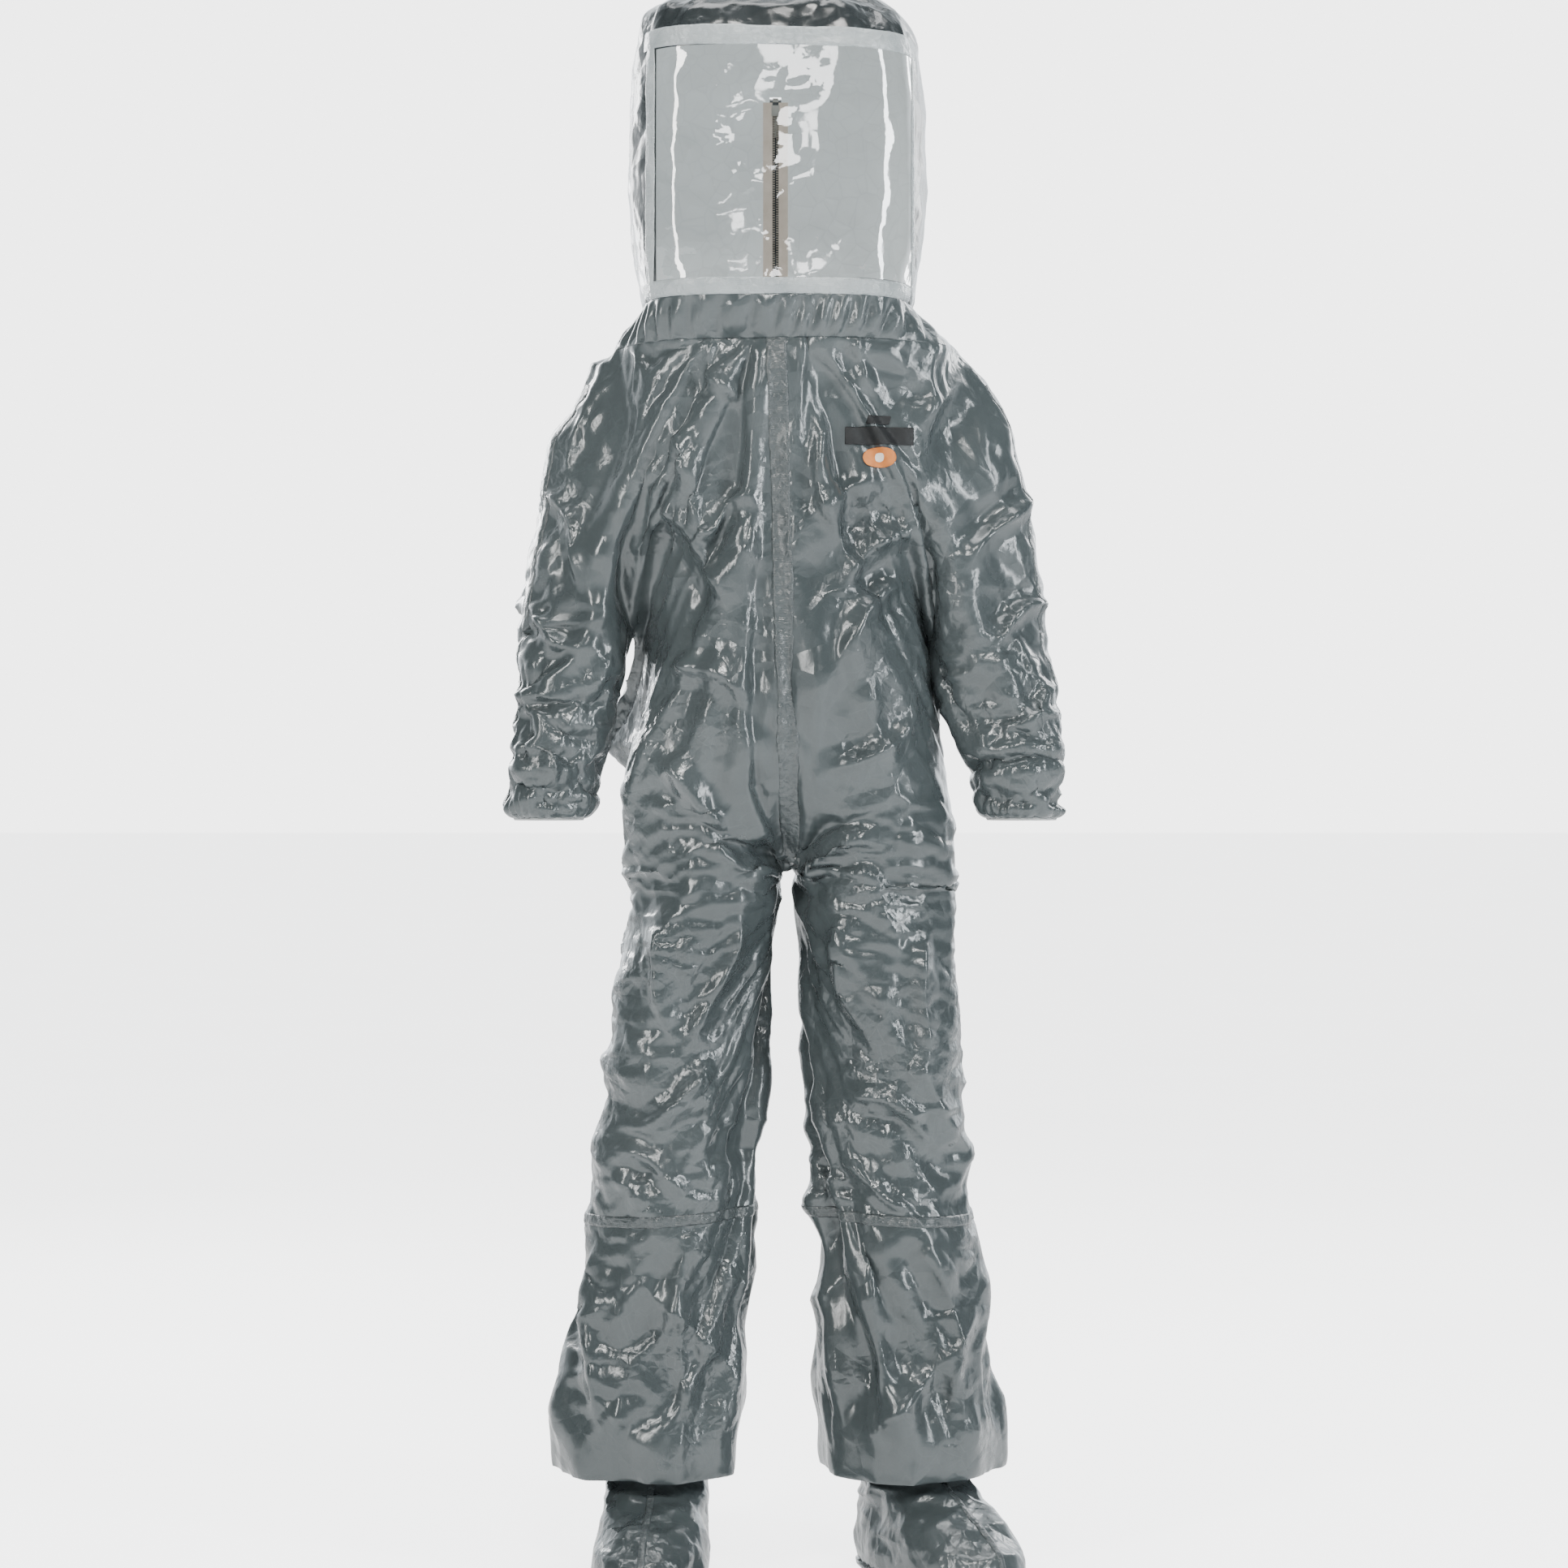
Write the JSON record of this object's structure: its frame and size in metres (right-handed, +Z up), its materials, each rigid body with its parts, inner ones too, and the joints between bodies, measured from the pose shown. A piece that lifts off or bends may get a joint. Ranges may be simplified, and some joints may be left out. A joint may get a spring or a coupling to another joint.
{
  "type": "chemical protective suit",
  "caption": "Hooded full-body chemical protective coverall with clear face shield, rear zipper under a storm flap, expanded back, elastic cuffs, boot flaps and sock booties.",
  "frame": {"origin": "between the wearer's shoulders, where the suit is carried, 1.5 m above the soles", "axes": "+Z up towards the hood, -Y the way the wearer faces, +X the wearer's left"},
  "size_m": [0.698, 0.423, 1.929],
  "materials": {
    "suit_laminate": "glossy coated laminate with sharp creases",
    "suit_laminate_dark": "glossy coated laminate, darker shade",
    "clear_vinyl": "clear flexible sheet",
    "shield_binding": "whitish welded tape",
    "zipper_tape": "woven tape",
    "zipper_coil": "satin coil",
    "zipper_metal": "satin metal",
    "hook_and_loop": "hook and loop pile",
    "label_film": "printed film, plain",
    "elastic": "knitted elastic",
    "valve_plastic": "moulded satin plastic",
    "valve_rubber": "thin soft disc"
  },
  "bodies": {
    "torso": {"hood_crown": "suit_laminate_dark", "hood_side_left": "suit_laminate_dark", "hood_side_right": "suit_laminate_dark", "hood_back_left": "suit_laminate", "hood_back_right": "suit_laminate", "face_shield": "clear_vinyl", "shield_tape_top": "shield_binding", "shield_tape_bottom": "shield_binding", "shield_tape_left": "shield_binding", "shield_tape_right": "shield_binding", "neck_band": "suit_laminate", "front_panel_left": "suit_laminate", "front_panel_right": "suit_laminate", "centre_front_tape": "suit_laminate", "back_panel_left": "suit_laminate", "back_panel_right": "suit_laminate", "chest_label": "label_film", "hip_left": "suit_laminate", "hip_right": "suit_laminate", "zipper_tape_left": "zipper_tape", "zipper_tape_right": "zipper_tape", "zipper_chain_left": "zipper_coil", "zipper_chain_right": "zipper_coil", "zipper_top_stop": "zipper_metal", "zipper_bottom_stop": "zipper_metal", "storm_flap_loop": "hook_and_loop", "exhaust_valve_body_left": "valve_plastic", "exhaust_valve_body_right": "valve_plastic", "exhaust_cover_left": "valve_plastic", "exhaust_cover_right": "valve_plastic"},
    "storm_flap": {"storm_flap": "suit_laminate", "storm_flap_hook": "hook_and_loop"},
    "zipper_slider": {"zipper_slider": "zipper_metal"},
    "zipper_pull": {"zipper_pull": "zipper_metal"},
    "exhaust_diaphragm_left": {"exhaust_diaphragm_left": "valve_rubber"},
    "upper_arm_left": {"sleeve_upper_left": "suit_laminate", "sleeve_elbow_left": "suit_laminate"},
    "forearm_left": {"sleeve_forearm_left": "suit_laminate", "cuff_elastic_left": "elastic"},
    "upper_leg_left": {"thigh_left": "suit_laminate", "knee_left": "suit_laminate"},
    "lower_leg_left": {"shin_left": "suit_laminate", "ankle_left": "suit_laminate", "boot_flap_left": "suit_laminate"},
    "flap_hem_left": {"flap_hem_left": "suit_laminate"},
    "foot_left": {"bootie_left": "suit_laminate", "sole_left": "suit_laminate_dark"},
    "exhaust_diaphragm_right": {"exhaust_diaphragm_right": "valve_rubber"},
    "upper_arm_right": {"sleeve_upper_right": "suit_laminate", "sleeve_elbow_right": "suit_laminate"},
    "forearm_right": {"sleeve_forearm_right": "suit_laminate", "cuff_elastic_right": "elastic"},
    "upper_leg_right": {"thigh_right": "suit_laminate", "knee_right": "suit_laminate"},
    "lower_leg_right": {"shin_right": "suit_laminate", "ankle_right": "suit_laminate", "boot_flap_right": "suit_laminate"},
    "flap_hem_right": {"flap_hem_right": "suit_laminate"},
    "foot_right": {"bootie_right": "suit_laminate", "sole_right": "suit_laminate_dark"}
  },
  "joints": [
    {"name": "shoulder_left", "type": "hinge", "parent": "torso", "child": "upper_arm_left", "pos_m": [0.191, 0, -0.125], "axis": [0, -1, 0], "range_deg": [0, 75]},
    {"name": "elbow_left", "type": "hinge", "parent": "upper_arm_left", "child": "forearm_left", "pos_m": [0.2637, -0.01, -0.365], "axis": [-1, 0, 0], "range_deg": [0, 90], "deforming": ["sleeve_elbow_left"]},
    {"name": "hip_left", "type": "hinge", "parent": "torso", "child": "upper_leg_left", "pos_m": [0.117, -0.02, -0.58], "axis": [-1, 0, 0], "range_deg": [-10, 75], "deforming": ["hip_left"]},
    {"name": "knee_left", "type": "hinge", "parent": "upper_leg_left", "child": "lower_leg_left", "pos_m": [0.1385, 0.015, -0.965], "axis": [1, 0, 0], "range_deg": [0, 80], "deforming": ["knee_left"]},
    {"name": "ankle_left", "type": "hinge", "parent": "lower_leg_left", "child": "foot_left", "pos_m": [0.152, 0, -1.4], "axis": [0.848, 0.53, 0], "range_deg": [-10, 20], "deforming": ["ankle_left"]},
    {"name": "boot_flap_lift_left", "type": "slide", "parent": "lower_leg_left", "child": "flap_hem_left", "axis": [0, 0, 1], "range_m": [0, 0.12], "deforming": ["boot_flap_left"]},
    {"name": "shoulder_right", "type": "hinge", "parent": "torso", "child": "upper_arm_right", "pos_m": [-0.191, 0, -0.125], "axis": [0, 1, 0], "range_deg": [0, 75]},
    {"name": "elbow_right", "type": "hinge", "parent": "upper_arm_right", "child": "forearm_right", "pos_m": [-0.2637, -0.01, -0.365], "axis": [-1, 0, 0], "range_deg": [0, 90], "deforming": ["sleeve_elbow_right"]},
    {"name": "hip_right", "type": "hinge", "parent": "torso", "child": "upper_leg_right", "pos_m": [-0.101, -0.02, -0.58], "axis": [-1, 0, 0], "range_deg": [-10, 75], "deforming": ["hip_right"]},
    {"name": "knee_right", "type": "hinge", "parent": "upper_leg_right", "child": "lower_leg_right", "pos_m": [-0.1455, 0.015, -0.965], "axis": [1, 0, 0], "range_deg": [0, 80], "deforming": ["knee_right"]},
    {"name": "ankle_right", "type": "hinge", "parent": "lower_leg_right", "child": "foot_right", "pos_m": [-0.156, 0, -1.4], "axis": [0.9976, -0.0698, 0], "range_deg": [-10, 20], "deforming": ["ankle_right"]},
    {"name": "boot_flap_lift_right", "type": "slide", "parent": "lower_leg_right", "child": "flap_hem_right", "axis": [0, 0, 1], "range_m": [0, 0.12], "deforming": ["boot_flap_right"]},
    {"name": "storm_flap_hinge", "type": "hinge", "parent": "torso", "child": "storm_flap", "pos_m": [0.012, 0.2017, -0.048], "axis": [0, 0, -1], "range_deg": [0, 150]},
    {"name": "zipper_slide", "type": "slide", "parent": "torso", "child": "zipper_slider", "axis": [0, 0, -1], "range_m": [0, 0.75]},
    {"name": "zipper_pull_swing", "type": "hinge", "parent": "zipper_slider", "child": "zipper_pull", "pos_m": [-0.0125, 0.2017, 0.334], "axis": [1, 0, 0], "range_deg": [0, 9]},
    {"name": "exhaust_diaphragm_lift_left", "type": "slide", "parent": "torso", "child": "exhaust_diaphragm_left", "axis": [0.1206, 0.9927, 0.0012], "range_m": [0, 0.0025], "stiffness_N_per_m": 20},
    {"name": "exhaust_diaphragm_lift_right", "type": "slide", "parent": "torso", "child": "exhaust_diaphragm_right", "axis": [-0.1206, 0.9927, 0.0012], "range_m": [0, 0.0025], "stiffness_N_per_m": 20}
  ]
}
